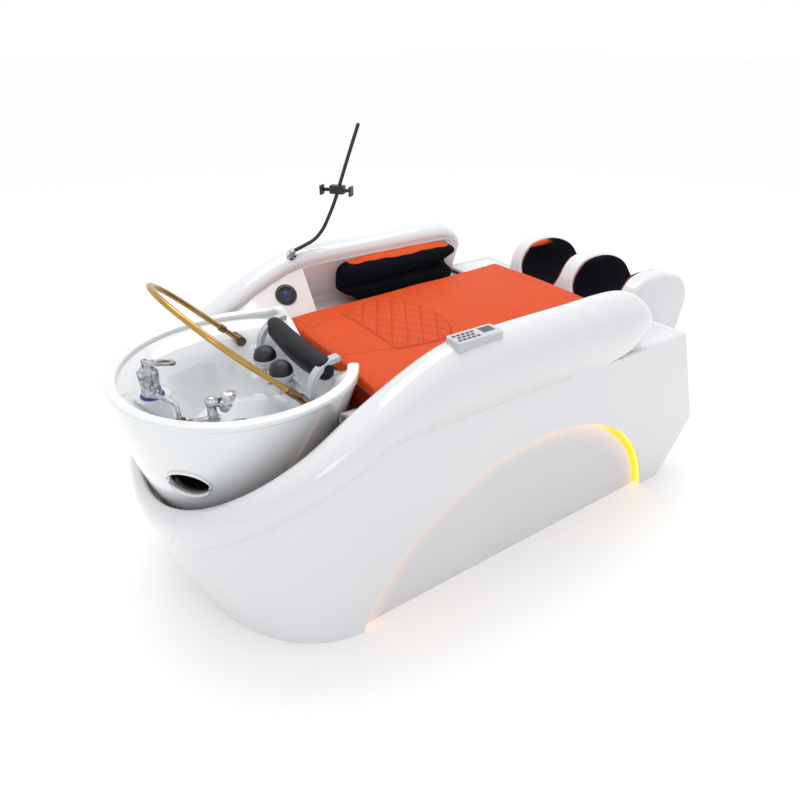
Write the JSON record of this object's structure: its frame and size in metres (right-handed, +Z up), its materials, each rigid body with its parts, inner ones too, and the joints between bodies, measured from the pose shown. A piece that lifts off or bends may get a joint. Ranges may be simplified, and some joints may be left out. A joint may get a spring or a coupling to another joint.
{
  "type": "hair washing bed",
  "caption": "Salon hair washing bed with white boat-shaped hull, deep basin with mixer and swinging water hoop, padded mattress, arm cushions and leg massager.",
  "frame": {"origin": "on the floor under the middle of the bed, at the centre of the middle levelling foot", "axes": "+X to the foot end, -Y to the side with the control panel, +Z up"},
  "size_m": [1.9321, 1.0342, 1.2163],
  "materials": {
    "gloss_white": "glossy gelcoat",
    "ceramic": "glazed",
    "light_strip": "translucent diffuser",
    "board": "plain",
    "steel_frame": "satin",
    "rubber": "matt",
    "speaker_black": "satin",
    "black_pad": "knit",
    "chrome": "polished",
    "grey_plastic": "satin",
    "ball_black": "satin",
    "brass": "brushed",
    "panel_white": "glossy",
    "display": "glossy",
    "orange_leather": "smooth",
    "dark_leather": "smooth",
    "key": "satin"
  },
  "bodies": {
    "bed": {"arch_panels": "gloss_white", "arm_cushions": "orange_leather", "armrest_rail": "gloss_white", "ball_cups": "grey_plastic", "base_frame": "steel_frame", "basin": "ceramic", "basin_stand": "steel_frame", "basin_waste": "chrome", "bed_platform": "board", "control_display": "display", "control_housing": "panel_white", "foot_deck": "gloss_white", "hoop_pivots": "brass", "hose_coupling": "chrome", "hose_grommet": "rubber", "hull_shell": "gloss_white", "leg_liners": "black_pad", "leg_shell": "gloss_white", "levelling_feet": "rubber", "light_strips": "light_strip", "mattress": "orange_leather", "mattress_base": "dark_leather", "mixer_body": "chrome", "mixer_gasket": "rubber", "neck_bracket": "grey_plastic", "neck_pillow": "black_pad", "phone_base": "chrome", "pillow_buckle": "grey_plastic", "shower_hose": "chrome", "side_liners": "gloss_white", "speakers": "speaker_black", "spray_holder": "chrome", "water_pump": "grey_plastic"},
    "mixer_cap": {"mixer_cap": "chrome"},
    "mixer_lever": {"mixer_lever": "chrome"},
    "diverter": {"diverter_lever": "chrome"},
    "spray": {"spray_head": "chrome"},
    "ball_near": {"head_ball_near": "ball_black"},
    "ball_far": {"head_ball_far": "ball_black"},
    "hoop": {"hoop_tube": "brass", "hoop_elbow_near": "brass", "hoop_clamp_far": "brass"},
    "phone_arm": {"phone_swivel": "ball_black", "phone_rod": "ball_black", "clamp_body": "ball_black"},
    "phone_jaw": {"clamp_jaw": "ball_black"},
    "key_01": {"panel_key_01": "key"},
    "key_02": {"panel_key_02": "key"},
    "key_03": {"panel_key_03": "key"},
    "key_04": {"panel_key_04": "key"},
    "key_05": {"panel_key_05": "key"},
    "key_06": {"panel_key_06": "key"},
    "key_07": {"panel_key_07": "key"},
    "key_08": {"panel_key_08": "key"},
    "key_09": {"panel_key_09": "key"},
    "key_10": {"panel_key_10": "key"},
    "key_11": {"panel_key_11": "key"},
    "key_12": {"panel_key_12": "key"},
    "key_13": {"panel_key_13": "key"},
    "key_14": {"panel_key_14": "key"}
  },
  "joints": [
    {"name": "mixer_turn", "type": "hinge", "parent": "bed", "child": "mixer_cap", "pos_m": [-0.843, 0, 0.73], "axis": [0, 0, 1], "range_deg": [-45, 45]},
    {"name": "mixer_lift", "type": "hinge", "parent": "mixer_cap", "child": "mixer_lever", "pos_m": [-0.843, 0, 0.75605], "axis": [0, -1, 0], "range_deg": [0, 25]},
    {"name": "diverter_turn", "type": "hinge", "parent": "bed", "child": "diverter", "pos_m": [-0.748, -0.182, 0.6615], "axis": [0, 0, 1], "range_deg": [-75, 0]},
    {"name": "spray_lift", "type": "slide", "parent": "bed", "child": "spray", "axis": [0, 0, 1], "range_m": [0, 0.09]},
    {"name": "ball_near_roll", "type": "hinge", "parent": "bed", "child": "ball_near", "pos_m": [-0.512, -0.055, 0.664], "axis": [0, 1, 0], "continuous": true},
    {"name": "ball_far_roll", "type": "hinge", "parent": "bed", "child": "ball_far", "pos_m": [-0.512, 0.055, 0.664], "axis": [0, 1, 0], "continuous": true},
    {"name": "hoop_swing", "type": "hinge", "parent": "bed", "child": "hoop", "pos_m": [-0.526, 0, 0.656], "axis": [0, 1, 0], "range_deg": [-15, 60]},
    {"name": "phone_swivel_turn", "type": "hinge", "parent": "bed", "child": "phone_arm", "pos_m": [-0.243, 0.41221, 0.82505], "axis": [0, -0.4163, 0.9092], "range_deg": [-120, 60]},
    {"name": "jaw_slide", "type": "slide", "parent": "phone_arm", "child": "phone_jaw", "axis": [0.6428, -0.766, 0], "range_m": [0, 0.03]},
    {"name": "key_01_press", "type": "slide", "parent": "bed", "child": "key_01", "axis": [0, 0, -1], "range_m": [0, 0.001], "stiffness_N_per_m": 250},
    {"name": "key_02_press", "type": "slide", "parent": "bed", "child": "key_02", "axis": [0, 0, -1], "range_m": [0, 0.001], "stiffness_N_per_m": 250},
    {"name": "key_03_press", "type": "slide", "parent": "bed", "child": "key_03", "axis": [0, 0, -1], "range_m": [0, 0.001], "stiffness_N_per_m": 250},
    {"name": "key_04_press", "type": "slide", "parent": "bed", "child": "key_04", "axis": [0, 0, -1], "range_m": [0, 0.001], "stiffness_N_per_m": 250},
    {"name": "key_05_press", "type": "slide", "parent": "bed", "child": "key_05", "axis": [0, 0, -1], "range_m": [0, 0.001], "stiffness_N_per_m": 250},
    {"name": "key_06_press", "type": "slide", "parent": "bed", "child": "key_06", "axis": [0, 0, -1], "range_m": [0, 0.001], "stiffness_N_per_m": 250},
    {"name": "key_07_press", "type": "slide", "parent": "bed", "child": "key_07", "axis": [0, 0, -1], "range_m": [0, 0.001], "stiffness_N_per_m": 250},
    {"name": "key_08_press", "type": "slide", "parent": "bed", "child": "key_08", "axis": [0, 0, -1], "range_m": [0, 0.001], "stiffness_N_per_m": 250},
    {"name": "key_09_press", "type": "slide", "parent": "bed", "child": "key_09", "axis": [0, 0, -1], "range_m": [0, 0.001], "stiffness_N_per_m": 250},
    {"name": "key_10_press", "type": "slide", "parent": "bed", "child": "key_10", "axis": [0, 0, -1], "range_m": [0, 0.001], "stiffness_N_per_m": 250},
    {"name": "key_11_press", "type": "slide", "parent": "bed", "child": "key_11", "axis": [0, 0, -1], "range_m": [0, 0.001], "stiffness_N_per_m": 250},
    {"name": "key_12_press", "type": "slide", "parent": "bed", "child": "key_12", "axis": [0, 0, -1], "range_m": [0, 0.001], "stiffness_N_per_m": 250},
    {"name": "key_13_press", "type": "slide", "parent": "bed", "child": "key_13", "axis": [0, 0, -1], "range_m": [0, 0.001], "stiffness_N_per_m": 250},
    {"name": "key_14_press", "type": "slide", "parent": "bed", "child": "key_14", "axis": [0, 0, -1], "range_m": [0, 0.001], "stiffness_N_per_m": 250}
  ]
}
